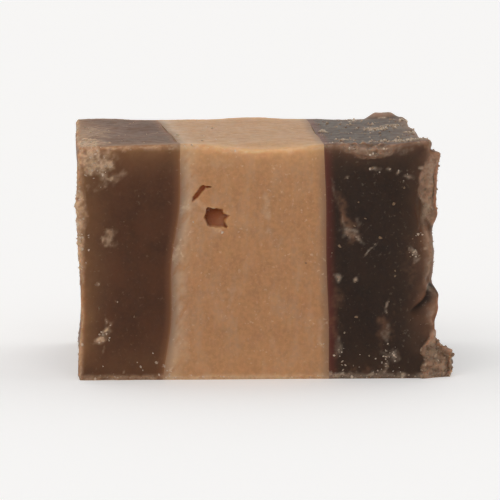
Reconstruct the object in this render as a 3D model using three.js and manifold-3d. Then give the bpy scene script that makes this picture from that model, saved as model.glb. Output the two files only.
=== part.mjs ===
// A cube of layered fudge, cut from a slab and laid on its side: milk chocolate fudge, caramel
// fudge and dark chocolate fudge, each poured onto the last and joined all over. Millimetres, +Z up.
// The front face looks along -Y, the layers stand side by side along X, and the origin is at the
// centre of the face that the cube rests on.

import * as THREE from "three";
import { mergeVertices } from "three/addons/utils/BufferGeometryUtils.js";
import Module from "manifold-3d";

// The cube as cut, before handling
const WIDTH = 32.6; // along X, through the three layers: the thickness of the slab
const DEPTH = 28;
const HEIGHT = 22;
const EDGE_RADIUS = 0.45; // cut edges, softened by handling
const SEAM_GAP = 0.3; // air between one layer's solid and the next

const LEFT = -WIDTH / 2;
const RIGHT = WIDTH / 2;
const FRONT = -DEPTH / 2;
const BACK = DEPTH / 2;

// Where one fudge meets the next. Each seam leans, and swells where the lower pour had set unevenly:
// its X on the front and back faces at the top, how far it moves by the foot, and its swellings.
const MILK_SEAM = {
  frontTop: -6.75,
  frontLean: -1.65,
  frontSwell: 0.17,
  frontSwellings: 2,
  backTop: -8.1,
  backLean: -0.6,
  backSwell: 0.2,
  backSwellings: 1,
};
const DARK_SEAM = {
  frontTop: 6.63,
  frontLean: 0.5,
  frontSwell: 0.04,
  frontSwellings: 2,
  backTop: 6.5,
  backLean: 0.35,
  backSwell: 0.12,
  backSwellings: 1,
};

// Long, low waves that the wire left on the cut faces: radians per mm along X, Y and Z, the phase,
// and the height in mm.
const CUT_WAVES = [
  { along: [0.42, 0.31, 0.37], phase: 0.9, height: 0.07 },
  { along: [-0.35, 0.52, 0.48], phase: 2.6, height: 0.05 },
  { along: [0.9, -0.45, 0.7], phase: 4.1, height: 0.03 },
];
const WAVE_FREE_FOOT = 2.5; // the waves fade out over this height, so that the foot stays flat

// Places where the fudge was dragged, chipped or curled by the knife: the middle of each, how far it
// reaches along X, Y and Z, how far the surface moves there, and the share of the reach that the
// slope takes (1 is a soft swelling, less is a flat-topped one with a steep rim). The flange also
// stops short, in a ledge under the raised corner.
const PULLS = {
  leftFaceHollow: { at: [LEFT, 0, 8.5], reach: [6, 24, 12], pull: [0.28, 0, 0], slope: 1 },
  leftFaceTaper: { at: [LEFT, BACK, 10], reach: [6, 34, 19], pull: [0.62, 0, 0], slope: 0.8 },
  leftFaceLean: { at: [LEFT, 0, HEIGHT], reach: [5, 24, 7], pull: [-0.04, 0, 0], slope: 1 },
  leftFrontBurr: {
    at: [LEFT, FRONT + 0.5, 16.5],
    reach: [1.2, 1.3, 6.8],
    pull: [-0.06, 0, 0],
    slope: 0.6,
  },
  topFrontSag: { at: [1.2, FRONT, HEIGHT], reach: [6.5, 2.6, 2], pull: [0, 0.1, -0.34], slope: 1 },
  topFrontNotch: {
    at: [10.9, FRONT, HEIGHT],
    reach: [3.3, 1.7, 1.6],
    pull: [0, 0.25, -0.45],
    slope: 0.9,
  },
  raisedCorner: {
    at: [RIGHT + 0.4, FRONT + 0.6, HEIGHT],
    reach: [4.6, 5.5, 2.6],
    pull: [0.42, 0, 0.38],
    slope: 1,
  },
  backFlap: {
    at: [13.95, BACK - 0.5, HEIGHT],
    reach: [1.8, 1.5, 1.3],
    pull: [0, 0.35, 0.45],
    slope: 0.62,
  },
  flange: {
    at: [RIGHT, FRONT + 1.3, 18.2],
    reach: [2.2, 1.9, 4.8],
    pull: [1.03, 0, 0],
    slope: 0.42,
    stopsAt: 21.25,
  },
  flangeFrontChip: {
    at: [RIGHT, FRONT, 17.4],
    reach: [1.3, 1.1, 4.3],
    pull: [-0.35, 0.75, 0],
    slope: 0.6,
  },
  flangeTail: {
    at: [RIGHT, FRONT + 1.2, 11.3],
    reach: [1.5, 1.6, 4.4],
    pull: [0.52, 0, 0],
    slope: 0.7,
  },
  curl: {
    at: [RIGHT, FRONT + 0.7, 7.2],
    reach: [1.9, 1.7, 2.1],
    pull: [1.15, -0.05, 0],
    slope: 0.8,
  },
  curlFoot: {
    at: [RIGHT, FRONT + 0.7, 4.2],
    reach: [1.6, 1.7, 2.8],
    pull: [0.9, 0, 0],
    slope: 0.7,
  },
  curlHollow: {
    at: [RIGHT - 0.4, FRONT, 7],
    reach: [1.1, 1.3, 1.9],
    pull: [0, 0.6, 0],
    slope: 0.8,
  },
  footFlake: {
    at: [RIGHT, FRONT + 1.7, 0.9],
    reach: [2.6, 2.7, 3],
    pull: [2.35, 0, 0],
    slope: 0.6,
  },
  footBreak: {
    at: [RIGHT + 0.4, FRONT, 1.2],
    reach: [1.5, 1.1, 2.9],
    pull: [-0.2, 0.85, 0],
    slope: 0.5,
  },
};

const LEDGE_SLOPE = 0.4; // height over which a pull that stops at a ledge sets in

// Holes where air was caught in the caramel, seen on the front face. The bubble's rim is ragged in
// broad waves and in points, both as shares of its radius.
const BUBBLE = { x: -3.5, z: 15.2, radius: 1, depth: 1.1, points: 11, waves: 0.14, spikes: 0.08 };
const CRACK = { x: -5.13, z: 17.5, length: 1.85, width: 0.5, depth: 0.5, lean: 0.87, sides: 12 };
const CUT_CLEARANCE = 1; // how far in front of the face a cutting shape starts

// The steps between grid lines, in mm. The dark layer's lines are closer, and closest where it is
// broken: within these distances of its faces.
const COARSE = 1.55;
const FINE = 0.85;
const FINEST = 0.5;
const BROKEN = { front: 3.5, back: 3, right: 3, foot: 4, top: 2 };

const SAME_POINT = 1e-4; // points closer than this are one

const COLOURS = { milk: 0x5a3c2a, caramel: 0xb5865f, dark: 0x352620 };
const FUDGE_ROUGHNESS = 0.5;

const clamp = THREE.MathUtils.clamp;
const lerp = THREE.MathUtils.lerp;
const smooth = (t) => THREE.MathUtils.smoothstep(t, 0, 1);

// X of a seam at a place on the cube: straight from its front line to its back line, eased between
function seamX(seam, y, z) {
  const down = 1 - z / HEIGHT;
  const swell = (count) => 1 - Math.cos(2 * Math.PI * count * down);
  const front = seam.frontTop + seam.frontLean * down + seam.frontSwell * swell(seam.frontSwellings);
  const back = seam.backTop + seam.backLean * down + seam.backSwell * swell(seam.backSwellings);
  return lerp(front, back, smooth((y - FRONT) / DEPTH));
}

// A point of the sharp box moved onto the box with rounded edges, with its outward normal
function softened(x, y, z) {
  const inner = new THREE.Vector3(
    clamp(x, LEFT + EDGE_RADIUS, RIGHT - EDGE_RADIUS),
    clamp(y, FRONT + EDGE_RADIUS, BACK - EDGE_RADIUS),
    clamp(z, EDGE_RADIUS, HEIGHT - EDGE_RADIUS),
  );
  const normal = new THREE.Vector3(x, y, z).sub(inner).normalize();
  return { point: inner.addScaledVector(normal, EDGE_RADIUS), normal };
}

// How strongly a pull acts at a point, from 1 at its middle to 0 at its reach, or over its ledge
function strength({ at, reach, slope, stopsAt = Infinity }, p) {
  const away = Math.hypot(
    (p.x - at[0]) / reach[0],
    (p.y - at[1]) / reach[1],
    (p.z - at[2]) / reach[2],
  );
  return smooth((1 - away) / slope) * smooth((stopsAt - p.z) / LEDGE_SLOPE);
}

// A point of the sharp box carried to the real surface: edges softened, waved, then pulled
function surfacePoint(x, y, z) {
  const { point, normal } = softened(x, y, z);
  const wave = CUT_WAVES.reduce(
    (sum, { along, phase, height }) =>
      sum + height * Math.sin(along[0] * point.x + along[1] * point.y + along[2] * point.z + phase),
    0,
  );
  const moved = point.clone().addScaledVector(normal, wave * smooth(point.z / WAVE_FREE_FOOT));
  for (const pull of Object.values(PULLS))
    moved.addScaledVector(new THREE.Vector3(...pull.pull), strength(pull, point));
  return moved;
}

// Grid lines from one place to another, about a step apart, with the softened edges' lines kept at
// the ends that are asked for. The step may differ from place to place.
function gridLines(from, to, stepAt, softFrom = true, softTo = true) {
  const first = softFrom ? from + EDGE_RADIUS : from;
  const last = softTo ? to - EDGE_RADIUS : to;
  const lines = [first];
  while (lines.at(-1) < last) lines.push(lines.at(-1) + stepAt(lines.at(-1)));
  const squeeze = (last - first) / (lines.at(-1) - first);
  const even = lines.map((line) => first + (line - first) * squeeze);
  return [...(softFrom ? [from] : []), ...even, ...(softTo ? [to] : [])];
}

// Triangles of a patch whose points are point(i, j), facing the way of i crossed with j, or against it
function addPatch(triangles, countI, countJ, point, against) {
  for (let i = 0; i + 1 < countI; i++) {
    for (let j = 0; j + 1 < countJ; j++) {
      const [a, b, c, d] = [point(i, j), point(i + 1, j), point(i + 1, j + 1), point(i, j + 1)];
      triangles.push(...(against ? [a, c, b, a, d, c] : [a, b, c, a, c, d]));
    }
  }
}

// A seam's own face, ruled straight from the front column of points to the back one, with fans at
// the foot and the top, where a row of points runs from front to back. It faces +X, or -X against.
function addSeamFace(triangles, ys, zs, point, against) {
  const [lastY, lastZ] = [ys.length - 1, zs.length - 1];
  const add = (a, b, c) => triangles.push(...(against ? [a, c, b] : [a, b, c]));
  for (let k = 1; k + 1 < lastZ; k++) {
    add(point(0, k), point(lastY, k), point(lastY, k + 1));
    add(point(0, k), point(lastY, k + 1), point(0, k + 1));
  }
  for (let j = 0; j < lastY; j++) {
    add(point(0, 1), point(j, 0), point(j + 1, 0));
    add(point(0, lastZ - 1), point(j + 1, lastZ), point(j, lastZ));
  }
  add(point(0, 1), point(lastY, 0), point(lastY, 1));
  add(point(0, lastZ - 1), point(lastY, lastZ - 1), point(lastY, lastZ));
}

// One layer as a closed surface. leftAt and rightAt give the X of its two ends at a place; an end
// that is a seam is ruled, and an outer end is a gridded face of the cube.
function layerGeometry({ shares, ys, zs, leftAt, rightAt, leftIsSeam, rightIsSeam }) {
  const triangles = [];
  const place = (share, y, z) =>
    surfacePoint(lerp(leftAt(y, z), rightAt(y, z), share), y, z);
  const [nx, ny, nz] = [shares.length, ys.length, zs.length];
  addPatch(triangles, nx, nz, (i, j) => place(shares[i], FRONT, zs[j]), false);
  addPatch(triangles, nx, nz, (i, j) => place(shares[i], BACK, zs[j]), true);
  addPatch(triangles, nx, ny, (i, j) => place(shares[i], ys[j], HEIGHT), false);
  addPatch(triangles, nx, ny, (i, j) => place(shares[i], ys[j], 0), true);
  for (const [share, isSeam, against] of [
    [0, leftIsSeam, true],
    [1, rightIsSeam, false],
  ]) {
    const point = (i, j) => place(share, ys[i], zs[j]);
    if (isSeam) addSeamFace(triangles, ys, zs, point, against);
    else addPatch(triangles, ny, nz, point, against);
  }
  const positions = new Float32Array(triangles.flatMap((p) => [p.x, p.y, p.z]));
  const geometry = new THREE.BufferGeometry();
  geometry.setAttribute("position", new THREE.BufferAttribute(positions, 3));
  return mergeVertices(geometry, SAME_POINT);
}

// Grid lines along X as shares of a layer's width, from its mean ends
function sharesOf(from, to, stepAt, softFrom, softTo) {
  return gridLines(from, to, stepAt, softFrom, softTo).map((x) => (x - from) / (to - from));
}

const wasm = await Module();
wasm.setup();

function solidOf(geometry) {
  const bare = geometry.clone();
  for (const name of ["normal", "uv"]) bare.deleteAttribute(name);
  const merged = mergeVertices(bare, SAME_POINT);
  return new wasm.Manifold(
    new wasm.Mesh({
      numProp: 3,
      vertProperties: merged.getAttribute("position").array,
      triVerts: new Uint32Array(merged.index.array),
    }),
  );
}

function geometryOf(solid) {
  const mesh = solid.getMesh();
  const geometry = new THREE.BufferGeometry();
  geometry.setAttribute("position", new THREE.BufferAttribute(mesh.vertProperties, mesh.numProp));
  geometry.setIndex(new THREE.BufferAttribute(mesh.triVerts, 1));
  geometry.computeVertexNormals();
  return geometry;
}

// An outline in the XZ plane pushed into the cube from in front of its front face
function frontCut(outline, x, z, depth) {
  const cut = new THREE.ExtrudeGeometry(new THREE.Shape(outline), {
    depth: depth + CUT_CLEARANCE,
    bevelEnabled: false,
  });
  cut.rotateX(Math.PI / 2); // the outline's Y becomes Z, and its depth runs towards -Y
  return solidOf(cut.translate(x, FRONT + depth, z));
}

// A burst bubble with a ragged rim
function bubbleCut() {
  const { x, z, radius, depth, points, waves, spikes } = BUBBLE;
  const outline = Array.from({ length: points * 2 }, (_, k) => {
    const turn = (Math.PI * k) / points;
    const ragged = 1 + waves * Math.sin(3 * turn + 1) + (k % 2 ? spikes : -spikes);
    return new THREE.Vector2(radius * ragged * Math.cos(turn), radius * ragged * Math.sin(turn));
  });
  return frontCut(outline, x, z, depth);
}

// A short leaning crack, pointed at both ends
function crackCut() {
  const { x, z, length, width, depth, lean, sides } = CRACK;
  const outline = Array.from({ length: sides }, (_, k) => {
    const turn = (2 * Math.PI * k) / sides;
    const point = new THREE.Vector2((length / 2) * Math.cos(turn), (width / 2) * Math.sin(turn));
    return point.rotateAround(new THREE.Vector2(), lean);
  });
  return frontCut(outline, x, z, depth);
}

function fudge(name, geometry, colour) {
  const material = new THREE.MeshStandardMaterial({ color: colour, roughness: FUDGE_ROUGHNESS });
  const mesh = new THREE.Mesh(geometry, material);
  mesh.name = name;
  return mesh;
}

// Milk chocolate fudge, the left layer, whose outer face was the top of the slab
function milkLayer() {
  const geometry = layerGeometry({
    shares: sharesOf(LEFT, MILK_SEAM.frontTop, () => COARSE, true, false),
    ys: gridLines(FRONT, BACK, () => COARSE),
    zs: gridLines(0, HEIGHT, () => COARSE),
    leftAt: () => LEFT,
    rightAt: (y, z) => seamX(MILK_SEAM, y, z) - SEAM_GAP / 2,
    leftIsSeam: false,
    rightIsSeam: true,
  });
  return fudge("milk_layer", geometry, COLOURS.milk);
}

// Caramel fudge, the middle layer, with its burst bubble and crack
function caramelLayer() {
  const geometry = layerGeometry({
    shares: sharesOf(MILK_SEAM.frontTop, DARK_SEAM.frontTop, () => COARSE, false, false),
    ys: gridLines(FRONT, BACK, () => COARSE),
    zs: gridLines(0, HEIGHT, () => COARSE),
    leftAt: (y, z) => seamX(MILK_SEAM, y, z) + SEAM_GAP / 2,
    rightAt: (y, z) => seamX(DARK_SEAM, y, z) - SEAM_GAP / 2,
    leftIsSeam: true,
    rightIsSeam: true,
  });
  const pitted = solidOf(geometry).subtract(bubbleCut()).subtract(crackCut());
  return fudge("caramel_layer", geometryOf(pitted), COLOURS.caramel);
}

// Dark chocolate fudge, the right layer, whose outer face was the foot of the slab and tore as it
// was cut: its lines close up by the front face, the broken corners and the back flap.
function darkLayer() {
  const stepX = (x) => (x > RIGHT - BROKEN.right ? FINEST : FINE);
  const stepY = (y) => (y < FRONT + BROKEN.front ? FINEST : y > BACK - BROKEN.back ? FINE : COARSE);
  const stepZ = (z) => (z < BROKEN.foot || z > HEIGHT - BROKEN.top ? FINEST : FINE);
  const geometry = layerGeometry({
    shares: sharesOf(DARK_SEAM.frontTop, RIGHT, stepX, false, true),
    ys: gridLines(FRONT, BACK, stepY),
    zs: gridLines(0, HEIGHT, stepZ),
    leftAt: (y, z) => seamX(DARK_SEAM, y, z) + SEAM_GAP / 2,
    rightAt: () => RIGHT,
    leftIsSeam: true,
    rightIsSeam: false,
  });
  return fudge("dark_layer", geometry, COLOURS.dark);
}

const cube = new THREE.Group();
cube.add(milkLayer(), caramelLayer(), darkLayer());

export default cube;
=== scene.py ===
"""A cube of layered fudge: milk chocolate, caramel and dark chocolate, with crumbs, on a pale table.

The shapes are worked out in millimetres and put into meshes in metres. The form of the cube repeats
the solids' own sizes, and the finer relief of the cut fudge lies on top of it.
"""

import math

import bpy
import numpy as np
from bpy.props import FloatProperty, FloatVectorProperty, IntProperty, PointerProperty
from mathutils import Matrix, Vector


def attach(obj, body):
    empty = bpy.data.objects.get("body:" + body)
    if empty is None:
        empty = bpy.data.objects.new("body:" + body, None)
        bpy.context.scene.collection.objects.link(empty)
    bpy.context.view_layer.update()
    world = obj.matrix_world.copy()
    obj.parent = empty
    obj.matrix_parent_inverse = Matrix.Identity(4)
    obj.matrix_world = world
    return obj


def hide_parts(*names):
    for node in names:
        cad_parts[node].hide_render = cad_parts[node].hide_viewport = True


bl_info = {
    "name": "Layered Fudge Cube",
    "version": (1, 0, 0),
    "blender": (4, 5, 0),
    "location": "View3D > Sidebar > Fudge",
    "description": "Makes a cut cube of three-layer fudge, its crumbs and a pale table",
    "category": "Add Mesh",
}

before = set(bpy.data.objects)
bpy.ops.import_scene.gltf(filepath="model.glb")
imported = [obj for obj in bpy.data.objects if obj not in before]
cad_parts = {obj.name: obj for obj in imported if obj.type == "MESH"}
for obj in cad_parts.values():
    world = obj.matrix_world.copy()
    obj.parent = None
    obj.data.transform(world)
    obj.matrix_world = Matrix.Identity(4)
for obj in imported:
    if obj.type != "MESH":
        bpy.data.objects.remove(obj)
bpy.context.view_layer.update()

MM = 0.001

# The cube as cut, in mm: the same sizes as the solids
WIDTH, DEPTH, HEIGHT = 32.6, 28.0, 22.0
EDGE_RADIUS = 0.45
LEFT, RIGHT = -WIDTH / 2, WIDTH / 2
FRONT, BACK = -DEPTH / 2, DEPTH / 2

# The names of its faces, and how near to a face's plane counts as on it, in mm
FRONT_FACE, BACK_FACE, TOP_FACE, LEFT_FACE, RIGHT_FACE = "front", "back", "top", "left", "right"
ON_PLANE = 1e-6

# A seam's X on the front and back faces: at the top, its lean by the foot, its swell and swellings
MILK_SEAM = {"front": (-6.75, -1.65, 0.17, 2), "back": (-8.1, -0.6, 0.2, 1)}
DARK_SEAM = {"front": (6.63, 0.5, 0.04, 2), "back": (6.5, 0.35, 0.12, 1)}

# The stage: the table's half width in mm, the camera's lens and the point it looks at in mm, and how
# wide the soft light is and how it is turned
TABLE_REACH, LENS, AIM = 6000, 404, (0.4, 0, 10.6)
LIGHT_SPREAD, LIGHT_TURN = math.radians(60), (math.radians(48), 0, math.radians(-12))

# Long, low waves of the cut faces: radians per mm along X, Y and Z, phase, height in mm
CUT_WAVES = (
    ((0.42, 0.31, 0.37), 0.9, 0.07),
    ((-0.35, 0.52, 0.48), 2.6, 0.05),
    ((0.9, -0.45, 0.7), 4.1, 0.03),
)
WAVE_FREE_FOOT = 2.5

# Where the knife dragged, chipped or curled the fudge: middle, reach and pull along X, Y and Z, and
# the share of the reach that the slope takes
PULLS = {
    "left face hollow": ((LEFT, 0, 8.5), (6, 24, 12), (0.28, 0, 0), 1),
    "left face taper": ((LEFT, BACK, 10), (6, 34, 19), (0.62, 0, 0), 0.8),
    "left face lean": ((LEFT, 0, HEIGHT), (5, 24, 7), (-0.04, 0, 0), 1),
    "left front burr": ((LEFT, FRONT + 0.5, 16.5), (1.2, 1.3, 6.8), (-0.06, 0, 0), 0.6),
    "top front sag": ((1.2, FRONT, HEIGHT), (6.5, 2.6, 2), (0, 0.1, -0.34), 1),
    "top front notch": ((10.9, FRONT, HEIGHT), (3.3, 1.7, 1.6), (0, 0.25, -0.45), 0.9),
    "raised corner": ((RIGHT + 0.4, FRONT + 0.6, HEIGHT), (4.6, 5.5, 2.6), (0.42, 0, 0.38), 1),
    "back flap": ((13.95, BACK - 0.5, HEIGHT), (1.8, 1.5, 1.3), (0, 0.35, 0.45), 0.62),
    "flange": ((RIGHT, FRONT + 1.3, 18.2), (2.2, 1.9, 4.8), (1.03, 0, 0), 0.42),
    "flange front chip": ((RIGHT, FRONT, 17.4), (1.3, 1.1, 4.3), (-0.35, 0.75, 0), 0.6),
    "flange tail": ((RIGHT, FRONT + 1.2, 11.3), (1.5, 1.6, 4.4), (0.52, 0, 0), 0.7),
    "curl": ((RIGHT, FRONT + 0.7, 7.2), (1.9, 1.7, 2.1), (1.15, -0.05, 0), 0.8),
    "curl foot": ((RIGHT, FRONT + 0.7, 4.2), (1.6, 1.7, 2.8), (0.9, 0, 0), 0.7),
    "curl hollow": ((RIGHT - 0.4, FRONT, 7), (1.1, 1.3, 1.9), (0, 0.6, 0), 0.8),
    "foot flake": ((RIGHT, FRONT + 1.7, 0.9), (2.6, 2.7, 3), (2.35, 0, 0), 0.6),
    "foot break": ((RIGHT + 0.4, FRONT, 1.2), (1.5, 1.1, 2.9), (-0.2, 0.85, 0), 0.5),
}

# The flange ends in a ledge under the raised corner: its height in mm and how fast it sets in
FLANGE_LEDGE, LEDGE_SLOPE = 21.25, 0.4

# The crisp left edge of the foot flake's torn face, before it is pulled: X at the foot, how far it
# leans per mm of height, its top in mm, and how far the flake stands in front
FLAKE_EDGE, FLAKE_LEAN, FLAKE_TOP, FLAKE_STEP = 15.0, 0.22, 4.7, 0.28

# The crisp upper edge of the curl, from its top to its lower left end: X and Z, and how deep the
# curl lies behind it. The recess just below the edge gets painted shade.
CURL_EDGE = ((16.3, 9.1), (14.9, 6.6))
CURL_STEP = 0.4

# What the pulls leave torn and crumbly: the strength of the pull past which it is torn, how torn it
# is, and how far its crumbs stand, in mm
TORN = {
    "flange": (0.27, 0.95, 0.09),
    "flange tail": (0.4, 0.5, 0.06),
    "foot flake": (0.16, 1.0, 0.22),
    "left front burr": (0.35, 0.6, 0.1),
    "top front notch": (0.1, 0.42, 0.2),
    "raised corner": (0.7, 0.4, 0.08),
    "back flap": (0.3, 0.5, 0.08),
}

# What the pulls leave so thin that light comes through: how much it shows
THIN = {
    "curl": 1.8,
    "curl foot": 0.7,
    "back flap": 1.6,
    "flange": 0.12,
    "left front burr": 0.55,
    "foot flake": 0.1,
    "raised corner": 0.25,
}

# Holes in the caramel's front, as in the solids: X, Z and size, and the lean of each crack in radians
BUBBLE = {"x": -3.5, "z": 15.2, "radius": 1.0}
CRACKS = (
    {"x": -5.2, "z": 17.4, "length": 1.75, "width": 0.52, "lean": 0.9},
    {"x": -4.72, "z": 18.0, "length": 0.8, "width": 0.62, "lean": 0.75},
    {"x": -4.25, "z": 18.12, "length": 0.85, "width": 0.24, "lean": -0.03},
)

# The points of the bubble's ragged rim: direction in degrees, share of the radius, and width in
# degrees
RIM_POINTS = (
    (132, 0.3, 16),
    (52, 0.12, 14),
    (9, 0.3, 10),
    (-39, 0.46, 9),
    (178, 0.12, 12),
    (-150, 0.08, 14),
    (-96, -0.08, 20),
)

# Single sugar crumbs on the front that show most: X, Z and radius
BRIGHT_CRUMBS = (
    (13.17, 16.34, 0.15),
    (10.57, 15.12, 0.12),
    (11.95, 13.33, 0.17),
    (14.11, 17.97, 0.1),
    (8.13, 12.44, 0.16),
    (13.3, 10.16, 0.12),
    (13.25, 9.67, 0.12),
    (9.64, 5.8, 0.16),
    (8.62, 4.39, 0.14),
    (9.9, 16.6, 0.13),
    (9.5, 14.3, 0.14),
    (14.9, 13.1, 0.15),
    (15.5, 11.6, 0.12),
    (15.1, 10.9, 0.1),
    (15.7, 12.9, 0.11),
    (14.7, 11.5, 0.1),
    (-14.67, 8.94, 0.13),
    (-14.36, 6.78, 0.14),
    (-11.14, 5.94, 0.1),
    (-9.02, 1.7, 0.15),
    (-8.35, 1.35, 0.13),
    (5.0, 10.9, 0.08),
)

# Clusters of sugar crumbs on the front: X, Z, spread in mm and number
CRUMB_CLUSTERS = (
    (13.0, 2.4, 0.55, 20),
    (12.3, 1.5, 0.5, 12),
    (8.0, 2.7, 0.45, 10),
    (8.8, 0.6, 0.8, 14),
    (12.4, 0.5, 1.6, 18),
    (15.2, 11.8, 0.45, 14),
    (15.4, 13.6, 0.5, 6),
    (11.1, 19.7, 0.45, 6),
    (13.8, 19.3, 0.6, 6),
    (6.2, 3.3, 0.3, 8),
    (-13.9, 4.3, 0.5, 14),
    (-14.6, 20.2, 1.0, 16),
    (-16.1, 13.5, 0.9, 14),
    (-7.9, 0.9, 0.4, 8),
    (-12.2, 0.3, 2.2, 14),
)

# The pale haze that the knife dragged over the caramel beside the milk seam: its reach in mm, and
# how its strokes lean
HAZE_REACH = 2.3
DRAG_LEAN = math.radians(28)
DRAG_C, DRAG_S = math.cos(DRAG_LEAN), math.sin(DRAG_LEAN)
DRAG_TURN = np.array([[DRAG_C, 0, DRAG_S], [0, 1, 0], [-DRAG_S, 0, DRAG_C]])

# Seeds of the noise that breaks up the veils and the caramel's haze
VEIL_SEED, HAZE_SEED = 401, 501

# How far noise shifts the outlines of smears, in mm
SMEAR_WARP = 0.4

# Pale smears on the front: X, Z, half length, half width, turn in degrees, strength
MILK_SMEARS = {
    "corner": (-14.8, 20.8, 3.0, 2.4, -30, 1.0),
    "below the corner": (-13.1, 19.0, 1.6, 1.1, 5, 0.8),
    "middle spot": (-13.4, 13.3, 1.05, 0.9, 50, 0.9),
    "low streak, top": (-13.9, 5.6, 0.8, 0.26, 100, 0.8),
    "low streak": (-13.65, 4.6, 0.9, 0.6, 65, 1.0),
    "low streak, left": (-14.2, 3.75, 0.9, 0.5, 20, 1.0),
    "low streak, tail": (-13.9, 2.9, 0.5, 0.2, 90, 0.6),
    "left edge": (-16.2, 15.6, 6.8, 0.6, 90, 1.0),
    "left edge's burr": (-16.2, 12.6, 2.4, 0.42, 92, 1.3),
    "left edge's foot": (-16.2, 4, 5, 0.2, 90, 0.5),
    "top edge": (-11.5, 21.75, 5.5, 0.34, 0, 0.85),
    "edge dash": (-8.95, 1.7, 0.24, 0.1, 35, 1.0),
    "seam dash": (-8.35, 1.35, 0.2, 0.08, 100, 0.8),
    "upper speck": (-14.7, 8.95, 0.26, 0.2, 40, 0.75),
    "lower speck": (-14.45, 6.75, 0.2, 0.12, 60, 0.6),
    "foot speck": (-12.1, 0.9, 0.2, 0.14, 80, 0.6),
}
CARAMEL_SMEARS = {
    "top edge": (0, 21.7, 7, 0.4, 0, 0.6),
    "seam rise": (-7.3, 11.8, 0.9, 0.4, 60, 0.5),
    "crack side": (-6.2, 16.2, 1.6, 0.5, 70, 0.5),
    "bubble shoulder": (-4.6, 16.5, 1.0, 0.45, -25, 0.4),
    "bubble foot": (-3.1, 14.0, 0.55, 0.3, -50, 0.5),
    "high dash": (6.05, 19.1, 0.3, 0.12, 30, 0.8),
    "middle haze": (1.3, 16.6, 2.2, 0.4, 100, 0.25),
    "foot flake": (-7.6, 0.85, 0.5, 0.16, 45, 1.0),
    "foot speck": (-5.9, 0.5, 0.22, 0.15, 0, 0.9),
    "low dash": (6.35, 3.3, 0.42, 0.12, 110, 0.9),
}
DARK_SMEARS = {
    "top edge": (11.5, 21.5, 5.5, 0.45, 0, 0.5),
    "drag, top": (7.7, 17.2, 2.0, 0.24, -78, 0.25),
    "drag, middle": (8.45, 15.0, 1.6, 0.3, -75, 0.35),
    "drag, end": (9.2, 13.7, 1.2, 0.75, -35, 0.65),
    "drag, side": (10.1, 13.1, 0.6, 0.34, -75, 0.7),
    "drag, head": (9.95, 14.8, 0.5, 0.34, -60, 0.5),
    "dash": (11.0, 12.1, 1.0, 0.13, 41, 0.7),
    "seam spot": (8.05, 9.5, 0.6, 0.34, 110, 0.85),
    "seam spot's pair": (9.65, 9.35, 0.46, 0.24, 15, 0.8),
    "stroke": (12.65, 6.9, 1.3, 0.15, 90, 0.6),
    "stroke's foot": (12.5, 4.4, 1.1, 0.4, 85, 0.35),
    "crumb patch": (13.0, 2.2, 1.2, 0.7, -30, 0.7),
    "crumb patch's foot": (12.4, 1.0, 1.0, 0.4, 80, 0.5),
    "foot patch": (12.2, 0.6, 1.1, 0.35, 0, 0.6),
    "seam foot": (7.9, 2.9, 1.2, 0.4, 80, 0.55),
    "foot rim": (8.2, 0.3, 1.9, 0.4, 0, 1.2),
    "foot rim, middle": (12.3, 0.3, 2.8, 0.4, 0, 1.1),
    "edge cluster": (15.05, 12.0, 0.55, 0.26, -50, 0.8),
    "edge cluster, foot": (15.3, 11.3, 0.4, 0.3, 60, 0.9),
    "edge cluster, right": (15.8, 12.2, 0.35, 0.22, 20, 0.7),
    "edge cluster, top": (15.4, 14.0, 0.9, 0.22, 80, 0.35),
    "upper row, left": (11.2, 19.7, 0.75, 0.32, 10, 0.75),
    "upper row, middle": (12.65, 19.7, 0.3, 0.2, 0, 0.7),
    "upper row, right": (13.55, 19.4, 0.34, 0.18, 40, 0.7),
    "upper row, end": (14.35, 18.95, 0.5, 0.3, -10, 0.75),
    "corner speck": (15.4, 19.8, 0.34, 0.26, 0, 0.85),
    "left speck": (8.8, 18.9, 0.25, 0.2, 0, 0.5),
}

# Pale dashes on top of the dark layer: X, Y and the rest as above
DARK_TOP_SMEARS = {
    "seam spot": (7.5, -0.6, 0.5, 0.8, 0, 1.0),
    "front row": (8.6, -8.4, 1.4, 0.9, 0, 1.0),
    "middle cluster": (12.4, 0.6, 1.6, 2.2, 0, 1.0),
    "front right row": (13.0, -9.8, 1.6, 0.8, 0, 0.9),
    "back spot": (11.0, 11.0, 0.7, 1.2, 0, 0.8),
    "right row": (15.4, -2.8, 1.0, 1.2, 0, 0.9),
    "corner row": (14.6, -12.6, 1.6, 0.6, 10, 0.9),
    "back right row": (14.2, 6.5, 1.1, 1.3, 0, 0.8),
}

# Veils on the front: brown and glowing where light comes through a thin smear, and pale haze on the
# caramel, as for the smears
MILK_VEILS = {
    "left edge": (-15.2, 17.6, 3.0, 0.8, 85, 0.35),
    "left edge, middle": (-15.5, 12.0, 3.0, 0.9, 95, 0.3),
}
CARAMEL_HAZE = {
    "round the crack": (-5.6, 17.4, 2.2, 1.3, 60, 0.5),
    "round the bubble": (-4.4, 15.0, 2.4, 1.7, 30, 0.42),
    "seam foot": (-6.9, 4.5, 4.5, 1.3, 95, 0.6),
    "middle streak": (1.4, 15.5, 3.6, 0.5, 96, 0.55),
    "middle streak's pair": (2.6, 13.0, 2.6, 0.35, 85, 0.3),
    "left streak": (-2.0, 8.0, 3.5, 0.4, 80, 0.28),
    "right foot": (6.1, 4.0, 2.4, 0.45, 88, 0.6),
    "low middle": (1.8, 3.4, 1.6, 0.5, 110, 0.3),
    "top": (-3.0, 20.3, 3.5, 0.7, 5, 0.25),
}
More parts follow.
